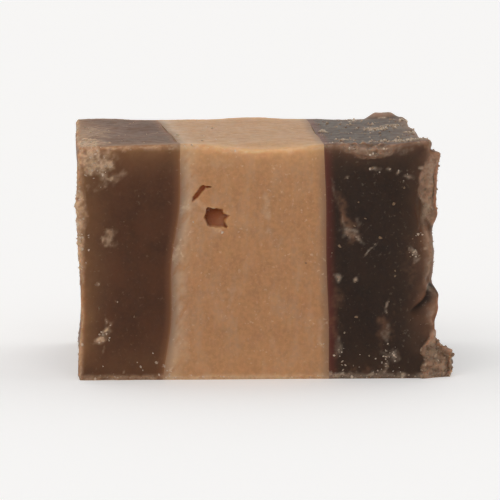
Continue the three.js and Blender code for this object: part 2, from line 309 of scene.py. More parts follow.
DARK_VEILS = {
    "drag": (8.5, 15.4, 3.4, 0.9, -66, 0.6),
    "drag, end": (9.3, 13.8, 1.5, 1.2, -40, 0.85),
    "stroke": (12.4, 4.6, 2.8, 1.1, 80, 0.5),
    "right edge": (15.1, 11.5, 7.0, 1.4, 88, 0.36),
    "seam": (7.7, 6.0, 6.5, 0.8, 88, 0.35),
    "foot": (10.5, 1.0, 4.5, 0.8, 0, 0.4),
    "top": (9.4, 20.2, 2.6, 0.7, -10, 0.3),
}

# How each fudge looks, in the order milk, caramel, dark: sizes in mm, and how strongly things show.
# Milk chocolate is smooth and waxy, with a brown glow at its edges. Caramel has the most sugar, so a
# fine visible grain, and light goes far into it. Dark chocolate is nearly black, with the most bloom.
KINDS = ("milk", "caramel", "dark")
MATERIALS = ("milk_chocolate_fudge", "caramel_fudge", "dark_chocolate_fudge")
LOOKS = {
    "crystal_show": (0.25, 0.52, 0.3),
    "crystal_mm": (0.3, 0.4, 0.3),
    "mottle_mm": (3.0, 1.3, 2.6),
    "seam_reach_mm": (0.9, 1.0, 1.1),
    "seam_show": (0.6, 0.78, 0.76),
    "stroke_show": (0.2, 0.22, 0.2),
    "torn_show": (0.6, 0.2, 0.85),
    "fleck_show": (0.12, 0.38, 0.13),
    "pale_show": (0.95, 0.75, 0.8),
    "roughness": (0.5, 0.52, 0.46),
    "ior": (1.31, 1.38, 1.31),
    "scatter_mm": (1.3, 2.2, 0.9),
    "scatter_rgb": ((1.0, 0.55, 0.32), (1.0, 0.55, 0.28), (1.0, 0.5, 0.32)),
    "bump_mm": (0.22, 0.2, 0.22),
    "bump_strength": (0.35, 0.5, 0.35),
}

# Their colours: an sRGB hex value, the name of a setting, or a share of the fudge's own colour
SHADES = {
    "body": KINDS,
    "deep": (0.76, 0.88, 0.72),
    "crystal": (1.35, 1.25, 1.7),
    "seam": ("#8a5a3a", "#896b54", "#692d20"),
    "seam_pale": (1.2, "#cbb197", 1.3),
    "merged": ("#9a6c48", "#95694a", "#6d4433"),
    "glow": ("#a0744c", "#e4b581", "#8a6044"),
    # hole: painted shade for the insides of the bubble and the cracks and the recess under the curl
    "hole": ("#40271a", "#974509", "#1c0d08"),
    "torn": ("#a28264", "#c9a27c", "#a68369"),
    "pale": ("#cfae8e", "#e6cdae", "bloom"),
}

# The three layers. Ends: the seam at the left and at the right end, or None for an outer face. Steps:
# the mesh's steps in mm along X, Y and Z. Dust: how pale the edges and the upper faces show, the share
# of specks, and the seed of all its noise. Placed: smears put in their places, by face. Seed and
# strewn: the random smears of the other faces, each row a face and what scattered_smears takes.
LAYERS = {
    "milk": {
        "ends": (None, MILK_SEAM),
        "steps": (lambda x: 0.12, lambda y: 0.2, lambda z: 0.12),
        "glow_mm": 1.45,
        "veils": MILK_VEILS,
        "haze": {},
        "dust": (0.7, 0.12, 0.02, 101),
        "placed": {
            FRONT_FACE: MILK_SMEARS.values(),
            LEFT_FACE: ((FRONT + 0.8, 15.5, 7.0, 1.6, 90, 0.9), (FRONT + 0.3, 12.6, 2.6, 0.9, 90, 1.3)),
            TOP_FACE: (
                (LEFT + 1, FRONT + 3, 4.5, 2.2, 80, 0.85),
                (LEFT + 1.2, FRONT + 3, 5.0, 1.5, 90, 1.0),
                (LEFT + 1.6, -1, 2.4, 10, 0, 0.5),
            ),
        },
        "seed": 11,
        "strewn": (
            (LEFT_FACE, 90, (FRONT, BACK), (0, HEIGHT), (0.15, 2.2), 0.16, (88, 9), (0.1, 0.45)),
            (TOP_FACE, 26, (LEFT, -7), (FRONT, BACK), (0.1, 0.9), 0.35, (0, 40), (0.2, 0.6)),
            (BACK_FACE, 16, (LEFT, -8), (0, HEIGHT), (0.12, 1.3), 0.35, (70, 50), (0.3, 0.8)),
        ),
    },
    "caramel": {
        "ends": (MILK_SEAM, DARK_SEAM),
        "steps": (
            lambda x: 0.065 if -6.3 < x < -1.9 else 0.15,
            lambda y: 0.22,
            lambda z: 0.065 if 13.7 < z < 18.6 else 0.14,
        ),
        "glow_mm": 1.3,
        "veils": {},
        "haze": CARAMEL_HAZE,
        "dust": (0.5, 0.12, 0.02, 201),
        "placed": {FRONT_FACE: CARAMEL_SMEARS.values()},
        "seed": 12,
        "strewn": (
            (TOP_FACE, 20, (-8, 6.5), (FRONT, BACK), (0.1, 0.8), 0.4, (0, 30), (0.2, 0.5)),
            (BACK_FACE, 22, (-8, 6.5), (0, HEIGHT), (0.12, 1.3), 0.35, (70, 50), (0.2, 0.6)),
        ),
    },
    "dark": {
        "ends": (DARK_SEAM, None),
        "steps": (
            lambda x: 0.09 if x > RIGHT - 2 else 0.13,
            lambda y: 0.11 if y < FRONT + 4 else 0.22,
            lambda z: 0.12,
        ),
        "glow_mm": 0.85,
        "veils": DARK_VEILS,
        "haze": {},
        "dust": (0.5, 0.2, 0.03, 301),
        "placed": {FRONT_FACE: DARK_SMEARS.values(), TOP_FACE: DARK_TOP_SMEARS.values()},
        "seed": 13,
        "strewn": (
            (TOP_FACE, 110, (7, RIGHT), (FRONT, BACK), (0.1, 1.7), 0.2, (0, 12), (0.35, 0.95)),
            (RIGHT_FACE, 130, (FRONT, BACK), (0, HEIGHT), (0.12, 2.4), 0.12, (90, 8), (0.2, 0.7)),
            (BACK_FACE, 45, (7, RIGHT), (0, HEIGHT), (0.1, 1.2), 0.3, (60, 60), (0.35, 0.9)),
        ),
    },
}


def smooth(t):
    """Eases 0 to 1: three times t squared less twice t cubed, held between 0 and 1."""
    t = np.clip(t, 0, 1)
    return t * t * (3 - 2 * t)


def lattice(cells, seed):
    """A steady random number from -1 to 1 for each whole-number cell, by mixing its bits."""
    x, y, z = (cells[..., k].astype(np.int64).astype(np.uint64) for k in range(3))
    with np.errstate(over="ignore"):
        mixed = x * np.uint64(73856093) ^ y * np.uint64(19349663) ^ z * np.uint64(83492791)
        mixed = (mixed ^ np.uint64(seed * 2654435761)) * np.uint64(0x9E3779B97F4A7C15)
        mixed ^= mixed >> np.uint64(29)
        mixed *= np.uint64(0xBF58476D1CE4E5B9)
        mixed ^= mixed >> np.uint64(32)
    return (mixed & np.uint64(0xFFFFFF)).astype(float) / 0x7FFFFF - 1


def grain(points, size, seed):
    """Value noise: random numbers on a lattice of the given size in mm, eased between its corners."""
    scaled = points / size
    cell = np.floor(scaled)
    part = smooth(scaled - cell)
    total = np.zeros(points.shape[:-1])
    for corner in np.ndindex(2, 2, 2):
        weight = np.prod(np.where(corner, part, 1 - part), axis=-1)
        total += weight * lattice(cell + np.array(corner), seed)
    return total


def rough(points, size, seed, octaves=3):
    """Fractal noise: each octave half as coarse and half as high as the one before, from -1 to 1."""
    heights = [0.5**k for k in range(octaves)]
    layers = [h * grain(points, size * h, seed + 17 * k) for k, h in enumerate(heights)]
    return sum(layers) / sum(heights)


def seam_x(seam, y, z):
    """X of a seam: on the front and back lines a lean and cosine swellings, eased between along Y."""
    down = 1 - z / HEIGHT
    line = {
        side: top + lean * down + swell * (1 - np.cos(2 * np.pi * count * down))
        for side, (top, lean, swell, count) in seam.items()
    }
    share = smooth((y - FRONT) / DEPTH)
    return line["front"] + (line["back"] - line["front"]) * share


def softened(box_points):
    """Points of the sharp box moved onto the box with round edges: clamped to a box smaller by the
    radius all round, then pushed out by the radius along the line to the first point."""
    half = np.array([WIDTH, DEPTH, HEIGHT]) / 2
    middle = np.array([0, 0, HEIGHT / 2])
    centred = box_points - middle
    inner = np.clip(centred, EDGE_RADIUS - half, half - EDGE_RADIUS)
    normals = centred - inner
    normals /= np.linalg.norm(normals, axis=-1, keepdims=True)
    return inner + normals * EDGE_RADIUS + middle, normals


def nearness(points, middle, reach):
    """1 at the middle of an ellipsoid, falling evenly to 0 at its surface."""
    away = np.linalg.norm((points - np.array(middle)) / np.array(reach), axis=-1)
    return np.clip(1 - away, 0, None)


def edge_distance(box_points):
    """How far a point of the sharp box is from the nearest edge: the second least of its distances
    to the planes of the three pairs of faces."""
    half = np.array([WIDTH, DEPTH, HEIGHT]) / 2
    to_planes = half - np.abs(box_points - np.array([0, 0, HEIGHT / 2]))
    return np.sort(to_planes, axis=-1)[..., 1]


def ellipse_inside(x, z, hole, warp):
    """1 at the middle of a leaning ellipse, falling evenly to 0 at its warped rim."""
    dx, dz = x - hole["x"], z - hole["z"]
    c, s = math.cos(hole["lean"]), math.sin(hole["lean"])
    along = (dx * c + dz * s) / (hole["length"] / 2)
    across = (dz * c - dx * s + warp) / (hole["width"] / 2)
    return 1 - np.hypot(along, across)


def hole_shares(box_points):
    """How far into the bubble and the cracks points of the front face are pushed, and how much painted
    shade they get there, from 0 to 1. The bubble's rim is a circle with points, and its floor is
    deepest and has the darkest painted shade at its upper left, under the rim."""
    x, z = box_points[..., 0], box_points[..., 2]
    warp = 0.09 * rough(box_points, 0.4, 71)
    dx, dz = x - BUBBLE["x"], z - BUBBLE["z"]
    turn = np.degrees(np.arctan2(dz, dx))
    rim = 1 + 1.3 * warp + 0.12 * rough(box_points, 0.22, 73)
    for heading, share, width in RIM_POINTS:
        off = (turn - heading + 180) % 360 - 180
        rim = rim + share * np.exp(-((off / width) ** 2))
    inside = smooth((rim * BUBBLE["radius"] - np.hypot(dx, dz)) / 0.24)
    shadow = smooth(0.5 + 0.5 * (0.75 * dz - 0.6 * dx) / BUBBLE["radius"])
    bubble = inside * (0.45 + 0.55 * shadow)
    cracks = [smooth(ellipse_inside(x, z, crack, 1.2 * warp) / 0.4) for crack in CRACKS]
    on_front = box_points[..., 1] < FRONT + ON_PLANE
    crack = np.maximum.reduce(cracks) * on_front
    dark = np.maximum(inside * (0.7 + 0.3 * shadow) * on_front, crack)
    return bubble * on_front, crack, dark


def curl_share(points):
    """1 just under the curl's upper edge, falling to 0 a little way below and right of it. It sets the
    curl back there and gives its recess painted shade.
    """
    (x_top, z_top), (x_end, z_end) = CURL_EDGE
    length = math.hypot(x_end - x_top, z_end - z_top)
    wave = 0.12 * rough(points, 0.8, 77)
    x, z = points[..., 0] - x_top, points[..., 2] - z_top
    below = (x * (z_top - z_end) - z * (x_top - x_end)) / length + wave
    along = (x * (x_end - x_top) + z * (z_end - z_top)) / length
    ends = smooth((along + 0.3) / 0.5) * smooth((length + 0.7 - along) / 1.2)
    near_front = smooth((FRONT + 1.6 - points[..., 1]) / 0.8)
    return smooth(below / 0.13) * smooth((1.15 - below) / 1.0) * ends * near_front


def pull_strengths(points):
    """How strongly each pull takes hold at points of the softened box, from 0 to 1."""
    strengths = {
        name: smooth(nearness(points, middle, reach) / slope)
        for name, (middle, reach, _, slope) in PULLS.items()
    }
    strengths["flange"] = strengths["flange"] * smooth((FLANGE_LEDGE - points[..., 2]) / LEDGE_SLOPE)
    return strengths


def flake_share(points):
    """1 on the torn face of the foot flake, 0 left of its crisp edge and above its top."""
    x, y, z = (points[..., k] for k in range(3))
    edge = FLAKE_EDGE + FLAKE_LEAN * np.maximum(z - 0.5, 0) + 0.14 * rough(points, 0.6, 63)
    return smooth((x - edge) / 0.08) * smooth((FLAKE_TOP - z) / 0.6) * smooth((FRONT + 3.5 - y) / 1)


def torn_shares(points):
    """How torn the surface is at points of the softened box, and how far its crumbs stand: past a
    strength of each pull, along a line that noise makes ragged."""
    strengths = pull_strengths(points)
    ragged = 0.16 * rough(points, 0.7, 61)
    masks = {
        name: smooth((strengths[name] + ragged - past) / 0.12)
        for name, (past, _, _) in TORN.items()
    }
    flake = flake_share(points)
    masks["foot flake"] = np.maximum(masks["foot flake"] * (points[..., 0] > RIGHT - 0.2), flake)
    torn = np.maximum.reduce([masks[name] * share for name, (_, share, _) in TORN.items()])
    stand = np.maximum.reduce([masks[name] * height for name, (_, _, height) in TORN.items()])
    return torn, stand


def fudge_surface(box_points, sizes, pale):
    """Points of the sharp box carried to the real surface, in mm: edges softened, waved along the
    normal and pulled as in the solids, then given cut lines, grain, worn edges, crumbs where it is
    torn, and a low raised crust where a pale smear lies."""
    points, normals = softened(box_points)
    wave = sum(h * np.sin(points @ np.array(along) + phase) for along, phase, h in CUT_WAVES)
    above_foot = smooth(points[..., 2] / WAVE_FREE_FOOT)
    uncut = np.abs(normals[..., 0]) > 0.5
    upright = np.abs(normals[..., 2]) < 0.5
    along_z, along_x = np.array([1, 1, 0.14]), np.array([0.14, 1, 1])
    lines = np.where(upright, rough(points * along_z, 0.5, 5), rough(points * along_x, 0.55, 6))
    drag = sizes.drag_height / MM * lines * ~uncut
    wrinkle = sizes.wrinkle_height / MM * rough(points * along_z, 1.1, 9) * uncut
    lumps = sizes.lump_height / MM * rough(points, 2.4, 2)
    grains = sizes.grain_height / MM * rough(points, 0.42, 3)
    crust = sizes.smear_height / MM * pale * (0.35 + rough(points, 0.32, 55))
    height = (wave + lumps) * above_foot + drag + wrinkle + grains + crust
    moved = points + normals * height[..., None]
    for name, strength in pull_strengths(points).items():
        moved += strength[..., None] * np.array(PULLS[name][2])
    near_edge = smooth(1 - edge_distance(box_points) / 0.5)
    wear = np.clip(rough(points, 0.9, 21) - 0.05, 0, None) * near_edge
    moved -= normals * (sizes.edge_wear / MM * wear)[..., None]
    stand = torn_shares(points)[1]
    loose = np.stack([rough(points, 0.6, seed) for seed in (31, 32, 33)], axis=-1)
    clefts = 1 - 3 * np.abs(rough(points, 0.85, 34))
    moved += (loose * 1.3 + normals * clefts[..., None] * 0.6) * stand[..., None]
    bubble, crack = hole_shares(box_points)[:2]
    moved[..., 1] += bubble * sizes.bubble_depth / MM + crack * sizes.crack_depth / MM
    moved[..., 1] += CURL_STEP * curl_share(points)
    moved[..., 1] += FLAKE_STEP * flake_share(points) * np.minimum(normals[..., 1], 0)
    moved[..., 2] = np.where(box_points[..., 2] <= 0, 0, np.maximum(moved[..., 2], 0))
    return moved


def grid_lines(start, end, step_at, soft_start=True, soft_end=True):
    """Places from start to end about a step apart, the step worked out from the place, with close
    lines over each softened edge."""
    edge = np.linspace(0, EDGE_RADIUS, 5)[:-1]
    first = start + EDGE_RADIUS if soft_start else start
    last = end - EDGE_RADIUS if soft_end else end
    lines = [first]
    while lines[-1] < last:
        lines.append(lines[-1] + step_at(lines[-1]))
    even = first + (np.array(lines) - first) * (last - first) / (lines[-1] - first)
    starts = start + edge if soft_start else []
    ends = (end - edge)[::-1] if soft_end else []
    return np.concatenate([starts, even, ends])


def patch_faces(rows, columns, against, first):
    """Quads of a grid of rows and columns of points numbered from first, facing the way of rows
    crossed with columns, or against it."""
    i, j = np.meshgrid(np.arange(rows - 1), np.arange(columns - 1), indexing="ij")
    corner = first + i * columns + j
    quads = np.stack([corner, corner + columns, corner + columns + 1, corner + 1], axis=-1)
    return (quads[..., ::-1] if against else quads).reshape(-1, 4)


def layer_box_points(shares, ys, zs, seams):
    """The faces of one layer on the sharp box, as arrays of points with the sense of each: front,
    back, top, foot and any outer end. A share runs from the layer's left end to its right end."""

    def face(axis_a, axis_b, build, against):
        share, y, z = build(*np.meshgrid(axis_a, axis_b, indexing="ij"))
        left, right = (
            seam_x(seam, y, z) if seam else np.full_like(y, outer)
            for seam, outer in zip(seams, (LEFT, RIGHT))
        )
        return np.stack([left + (right - left) * share, y, z], axis=-1), against

    patches = [
        face(shares, zs, lambda s, z: (s, np.full_like(s, FRONT), z), False),
        face(shares, zs, lambda s, z: (s, np.full_like(s, BACK), z), True),
        face(shares, ys, lambda s, y: (s, y, np.full_like(s, HEIGHT)), False),
        face(shares, ys, lambda s, y: (s, y, np.zeros_like(s)), True),
    ]
    for share, seam, against in zip((0.0, 1.0), seams, (True, False)):
        if not seam:
            patches.append(face(ys, zs, lambda y, z, s=share: (np.full_like(y, s), y, z), against))
    return patches


def seam_faces(ring_front, ring_back, ring_foot, ring_top, against):
    """The hidden face of a seam from its rim: quads ruled from the front column to the back one,
    and fans at the foot and the top."""
    quads = np.stack([ring_front[1:-2], ring_back[1:-2], ring_back[2:-1], ring_front[2:-1]], axis=-1)
    foot = np.stack([np.full(len(ring_foot) - 1, ring_front[1]), ring_foot[:-1], ring_foot[1:]], -1)
    top = np.stack([np.full(len(ring_top) - 1, ring_front[-2]), ring_top[1:], ring_top[:-1]], -1)
    ends = np.array(
        [[ring_front[1], ring_back[0], ring_back[1]], [ring_front[-2], ring_back[-2], ring_back[-1]]]
    )
    faces = [quads, np.concatenate([foot, top, ends])]
    return [f[:, ::-1] if against else f for f in faces]


def mesh_object(name, points, faces, smooth_angle=math.radians(50)):
    """A mesh object at the origin from points in mm and a list of face arrays."""
    mesh = bpy.data.meshes.new(name)
    counts = np.concatenate([np.full(len(f), f.shape[1]) for f in faces])
    corners = np.concatenate([f.ravel() for f in faces])
    mesh.vertices.add(len(points))
    mesh.vertices.foreach_set("co", (points * MM).astype(np.float32).ravel())
    mesh.loops.add(len(corners))
    mesh.loops.foreach_set("vertex_index", corners.astype(np.int32))
    mesh.polygons.add(len(counts))
    starts = np.concatenate([[0], np.cumsum(counts)[:-1]])
    mesh.polygons.foreach_set("loop_start", starts.astype(np.int32))
    mesh.polygons.foreach_set("use_smooth", np.ones(len(counts), bool))
    mesh.update(calc_edges=True)
    mesh.set_sharp_from_angle(angle=smooth_angle)
    made = bpy.data.objects.new(name, mesh)
    bpy.context.scene.collection.objects.link(made)
    return made


def keep_values(made, name, values):
    """Stores one number for each point of a mesh, for its material to read."""
    attribute = made.data.attributes.new(name, "FLOAT", "POINT")
    attribute.data.foreach_set("value", values.astype(np.float32))


def face_of(box_points):
    """The name of the face of the sharp box that each point is on."""
    names = np.full(box_points.shape[:-1], "foot", dtype="<U8")
    tests = {
        LEFT_FACE: box_points[..., 0] <= LEFT + ON_PLANE,
        RIGHT_FACE: box_points[..., 0] >= RIGHT - ON_PLANE,
        TOP_FACE: box_points[..., 2] >= HEIGHT - ON_PLANE,
        BACK_FACE: box_points[..., 1] >= BACK - ON_PLANE,
        FRONT_FACE: box_points[..., 1] <= FRONT + ON_PLANE,
    }
    for name, test in tests.items():
        names[test] = name
    return names


def smear_mask(u, v, points, smears, seed, softness=0.6):
    """How pale each point is under a list of smears: leaning ellipses in the face's own two
    directions, their rims and middles broken up by noise."""
    ragged = rough(points, 0.7, seed, 4)
    broken = 0.5 + 0.5 * rough(points, 0.3, seed + 1, 2)
    u = u + SMEAR_WARP * rough(points, 1.1, seed + 2)
    v = v + SMEAR_WARP * rough(points, 1.1, seed + 3)
    pale = np.zeros(u.shape)
    for mid_u, mid_v, length, width, turn, strength in smears:
        c, s = math.cos(math.radians(turn)), math.sin(math.radians(turn))
        along = ((u - mid_u) * c + (v - mid_v) * s) / length
        across = ((v - mid_v) * c - (u - mid_u) * s) / width
        inside = 1 - np.hypot(along, across) + 0.75 * ragged
        mask = strength * smooth(inside / softness) * (0.3 + 0.9 * smooth(broken * 2.2 - 0.6))
        pale = np.maximum(pale, mask)
    return pale


def scattered_smears(rng, count, u_range, v_range, lengths, width_share, turn, strengths):
    """Random smears for a face that the photograph doesn't show, as rows for smear_mask."""
    u, v = rng.uniform(*u_range, count), rng.uniform(*v_range, count)
    length = rng.uniform(0, 1, count) ** 2.2 * (lengths[1] - lengths[0]) + lengths[0]
    turns = rng.normal(turn[0], turn[1], count)
    strength = rng.uniform(*strengths, count)
    return np.stack([u, v, length, length * width_share, turns, strength], axis=-1)


def pale_of(layer, box_points, face):
    """Pale bloom, smears and crumbs' dust all over a layer, from 0 to 1."""
    rng = np.random.default_rng(layer["seed"])
    stray = {side: scattered_smears(rng, *row) for side, *row in layer["strewn"]}
    rim_show, dust_show, speck_share, seed = layer["dust"]
    x, y, z = (box_points[..., k] for k in range(3))
    axes = {
        FRONT_FACE: (x, z),
        BACK_FACE: (x, z),
        TOP_FACE: (x, y),
        LEFT_FACE: (y, z),
        RIGHT_FACE: (y, z),
    }
    pale = np.zeros(x.shape)
    for side, (u, v) in axes.items():
        on = face == side
        if on.any():
            rows = [*layer["placed"].get(side, ()), *stray.get(side, ())]
            softness = 0.9 if side == FRONT_FACE else 0.6
            pale[on] = smear_mask(u[on], v[on], box_points[on], rows, seed, softness)
    dusty = (face == TOP_FACE) + 0.35 * ((face == LEFT_FACE) | (face == RIGHT_FACE))
    veil = 0.65 + 0.5 * rough(box_points @ DRAG_TURN * np.array([0.3, 1, 1]), 3.1, seed + 13, 4)
    pale = np.maximum(pale, dust_show * np.clip(veil, 0, 1) * dusty)
    specks = grain(box_points, 0.2, seed + 7)
    pale = np.maximum(pale, 0.32 * smooth((specks - (1 - speck_share)) / 0.12))
    rim = smooth(1 - edge_distance(box_points) / 0.6)
    dust = 0.35 + 0.65 * smooth((rough(box_points, 0.8, seed + 9) + 0.3) / 0.5)
    foot_rim = smooth((0.7 - z) / 0.45) * smooth((rough(box_points, 0.7, seed + 11) + 0.45) / 0.5)
    return np.clip(np.maximum.reduce([pale, rim_show * rim * dust, 0.5 * foot_rim]), 0, 1)


def glow_of(layer, box_points, face):
    """How much light comes through near edges and in thin lips, from 0 to 1: it falls off with the
    distance from the nearest edge, less at the foot, and changes along the edge."""
    points = softened(box_points)[0]
    fall = np.exp(-edge_distance(box_points) / layer["glow_mm"])
    at_foot = smooth(1 - box_points[..., 2] / 3)
    edge = fall * (1 - 0.8 * at_foot) * (0.85 + 0.45 * rough(points, 3.2, 81))
    strengths = pull_strengths(points)
    lips = np.maximum.reduce([share * strengths[pull] for pull, share in THIN.items()])
    front = face == FRONT_FACE
    x, z = box_points[front, 0], box_points[front, 2]
    veil = np.zeros(len(box_points))
    rows = layer["veils"].values()
    veil[front] = smear_mask(x, z, box_points[front], rows, VEIL_SEED, 1.3)
    return np.clip(np.maximum.reduce([edge, lips, veil]), 0, 1)


def haze_of(layer, box_points, face, from_seam):
    """How hazy a layer is, from 0 to 1: strokes that fall off with the distance from its first seam,
    and the patches on the front."""
    strokes = rough(box_points @ DRAG_TURN * np.array([1, 1, 0.45]), 0.4, 91)
    haze = smooth(1 - from_seam / HAZE_REACH) * smooth((strokes + 0.75) / 1.1)
    on, rows = face == FRONT_FACE, layer["haze"].values()
    x, z = box_points[on, 0], box_points[on, 2]
    haze[on] = np.maximum(haze[on], smear_mask(x, z, box_points[on], rows, HAZE_SEED, 1.2))
    return haze


def layer_piece(name, layer, sizes):
    """One layer as a closed mesh, with what its material reads at each point: how far from a seam it
    is in mm, how pale and how torn it is, how much it glows, how much painted shade it gets in the
    holes and under the curl's edge, and how hazy it is."""
    seams = layer["ends"]
    start = seams[0]["front"][0] if seams[0] else LEFT
    end = seams[1]["front"][0] if seams[1] else RIGHT
    step_x, step_y, step_z = layer["steps"]
    lines = grid_lines(start, end, step_x, not seams[0], not seams[1])
    ys, zs = grid_lines(FRONT, BACK, step_y), grid_lines(0, HEIGHT, step_z)
    patches = layer_box_points((lines - start) / (end - start), ys, zs, seams)
    box_points = np.concatenate([p.reshape(-1, 3) for p, _ in patches])
    rounded = np.round(box_points, 6)
    kept, place = np.unique(rounded, axis=0, return_index=True, return_inverse=True)[1:]
    place = place.ravel()
    box_points = box_points[kept]
    faces, grids, first = [], [], 0
    for patch, against in patches:
        rows, columns = patch.shape[:2]
        faces.append(place[patch_faces(rows, columns, against, first)])
        grids.append(place[first : first + rows * columns].reshape(rows, columns))
        first += rows * columns
    for row, seam, against in zip((0, len(lines) - 1), seams, (True, False)):
        if seam:
            faces += seam_faces(grids[0][row], grids[1][row], grids[3][row], grids[2][row], against)
    face = face_of(box_points)
    pale = pale_of(layer, box_points, face)
    made = mesh_object(name, fudge_surface(box_points, sizes, pale), faces)
    points = softened(box_points)[0]
    x, y, z = (box_points[..., k] for k in range(3))
    away = [np.abs(x - seam_x(seam, y, z)) for seam in seams if seam]
    values = {
        "seam_mm": np.minimum.reduce(away),
        "pale": pale,
        "torn": torn_shares(points)[0],
        "glow": glow_of(layer, box_points, face),
        # hole: painted shade in the bubble, the cracks and the recess under the curl's edge
        "hole": np.maximum(hole_shares(box_points)[2], 0.95 * curl_share(points)),
        "haze": haze_of(layer, box_points, face, away[0]) if layer["haze"] else np.zeros(len(points)),
    }
    for kind, numbers in values.items():
        keep_values(made, kind, numbers)
    return made


def ball(levels):
    """Points and triangles of a unit ball: an icosahedron, whose edges are halved and their middles
    pushed out to the ball at each level."""
    golden = (1 + math.sqrt(5)) / 2
    corners = np.array([[0, a, b * golden] for a in (-1, 1) for b in (-1, 1)])
    points = np.concatenate([np.roll(corners, turn, axis=1) for turn in range(3)])
    spans = np.linalg.norm(points[:, None] - points[None], axis=-1)
    joined = np.abs(spans - 2) < 0.01
    i, j, k = np.nonzero(joined[:, :, None] & joined[None] & joined[:, None, :])
    faces = np.stack([i, j, k], axis=-1)[(i < j) & (j < k)]
    a, b, c = (points[faces[:, n]] for n in range(3))
    outward = np.einsum("ij,ij->i", a, np.cross(b, c))
    faces[outward < 0] = faces[outward < 0][:, ::-1]
    points = points / np.linalg.norm(points[0])
    for _ in range(levels):
        a, b, c = (points[faces[:, n]] for n in range(3))
        sums = [p + q for p, q in ((a, b), (b, c), (c, a))]
        ab, bc, ca = (total / np.linalg.norm(total, axis=-1, keepdims=True) for total in sums)
        split = np.stack([a, ab, ca, ab, b, bc, ca, bc, c, ab, bc, ca], axis=1).reshape(-1, 3)
        points, place = np.unique(np.round(split, 6), axis=0, return_inverse=True)
        faces = place.reshape(-1, 3)
    return points, faces


def crumb_piece(name, places, normals, radii, shades, rng, levels, raggedness, squash):
    """Many crumbs as one mesh: balls with their points pushed in and out at random, stretched,
    turned at random and sunk a little into what they stick to. Each keeps a shade of its own."""
    unit, faces = ball(levels)
    count = len(places)
    spin = rng.normal(size=(count, 4))
    w, x, y, z = (spin / np.linalg.norm(spin, axis=1, keepdims=True)).T
    turned = np.stack(
        [
            np.stack([1 - 2 * (y * y + z * z), 2 * (x * y - w * z), 2 * (x * z + w * y)], -1),
            np.stack([2 * (x * y + w * z), 1 - 2 * (x * x + z * z), 2 * (y * z - w * x)], -1),
            np.stack([2 * (x * z - w * y), 2 * (y * z + w * x), 1 - 2 * (x * x + y * y)], -1),
        ],
        axis=1,
    )
    stretch = rng.uniform(squash, 1.25, (count, 1, 3))
    pushed = 1 + raggedness * rng.uniform(-1, 1, (count, len(unit), 1))
    shapes = np.einsum("nij,nvj->nvi", turned, unit[None] * stretch * pushed)
    sunk = places - normals * (0.25 * radii)[:, None]
    points = shapes * radii[:, None, None] + sunk[:, None]
    points[..., 2] = np.maximum(points[..., 2], 0)
    numbered = faces[None] + len(unit) * np.arange(count)[:, None, None]
    made = mesh_object(name, points.reshape(-1, 3), [numbered.reshape(-1, 3)], math.radians(35))
    keep_values(made, "shade", np.repeat(shades, len(unit)))
    return made


def surface_data(name):
    """Points, normals and kept values of a finished layer, in mm."""
    mesh = bpy.data.objects[name].data
    count = len(mesh.vertices)
    points, normals = np.empty(count * 3, np.float32), np.empty(count * 3, np.float32)
    mesh.vertices.foreach_get("co", points)
    mesh.vertex_normals.foreach_get("vector", normals)
    values = {}
    for kept in ("pale", "torn", "hole", "seam_mm"):
        values[kept] = np.empty(count, np.float32)
        mesh.attributes[kept].data.foreach_get("value", values[kept])
    return points.reshape(-1, 3) / MM, normals.reshape(-1, 3), values


def strewn(rng, points, normals, weights, count, smallest, largest, rarity, shades):
    """Places, normals, radii and shades of crumbs: points drawn by weight and shifted a little, most
    crumbs small and a few large."""
    chosen = rng.choice(len(points), count, p=weights / weights.sum())
    shift = rng.normal(0, 0.05, (count, 3))
    radii = smallest + (largest - smallest) * rng.uniform(0, 1, count) ** rarity
    return points[chosen] + shift, normals[chosen], radii, rng.uniform(*shades, count)


def linear(hex_colour):
    """A linear colour from an sRGB hex value."""
    channels = [int(hex_colour[k : k + 2], 16) / 255 for k in (1, 3, 5)]
    return [c / 12.92 if c <= 0.04045 else ((c + 0.055) / 1.055) ** 2.4 for c in channels]


def add(tree, kind, settings=None, links=None):
    """A node of one kind, with its settings and what feeds its sockets."""
    node = tree.nodes.new(kind)
    for name, value in (settings or {}).items():
        if isinstance(name, int) or name in node.inputs:
            node.inputs[name].default_value = value
        else:
            setattr(node, name, value)
    for socket, source in (links or {}).items():
        tree.links.new(source, node.inputs[socket])
    return node


MIX_A, MIX_B, MIX_RESULT = 6, 7, 2  # the colour sockets of a Mix node


def mixed(tree, share, first, second):
    """The colour between two colours, each a socket or a colour, by a share socket."""
    node = add(tree, "ShaderNodeMix", {"data_type": "RGBA"}, {0: share})
    for index, colour in ((MIX_A, first), (MIX_B, second)):
        if isinstance(colour, bpy.types.NodeSocket):
            tree.links.new(colour, node.inputs[index])
        else:
            node.inputs[index].default_value = (*colour[:3], 1)
    return node.outputs[MIX_RESULT]


def ranged(tree, value, low, high, to_low=0.0, to_high=1.0):
    """A value eased from one range to another."""
    settings = {
        "interpolation_type": "SMOOTHSTEP",
        "From Min": low,
        "From Max": high,
        "To Min": to_low,
        "To Max": to_high,
    }
    return add(tree, "ShaderNodeMapRange", settings, {"Value": value}).outputs["Result"]


def times(tree, first, second):
    """The product of two values, the second a socket or a number."""
    node = add(tree, "ShaderNodeMath", {"operation": "MULTIPLY"}, {0: first})
    if isinstance(second, bpy.types.NodeSocket):
        tree.links.new(second, node.inputs[1])
    else:
        node.inputs[1].default_value = second
    return node.outputs[0]


def pattern(tree, size_mm, detail=3.0, squeeze=(1, 1, 1)):
    """Noise whose features are about a size in mm, stretched by the squeeze along X, Y and Z."""
    place = add(tree, "ShaderNodeTexCoord").outputs["Object"]
    turned = add(tree, "ShaderNodeMapping", {"Scale": squeeze}, {"Vector": place})
    settings = {"Scale": 1 / (size_mm * MM), "Detail": detail, "Roughness": 0.6}
    noise = add(tree, "ShaderNodeTexNoise", settings, {"Vector": turned.outputs[0]})
    return noise.outputs["Fac"]


def value_of(tree, name):
    """A number that the mesh keeps for each point."""
    return add(tree, "ShaderNodeAttribute", {"attribute_name": name}).outputs["Fac"]


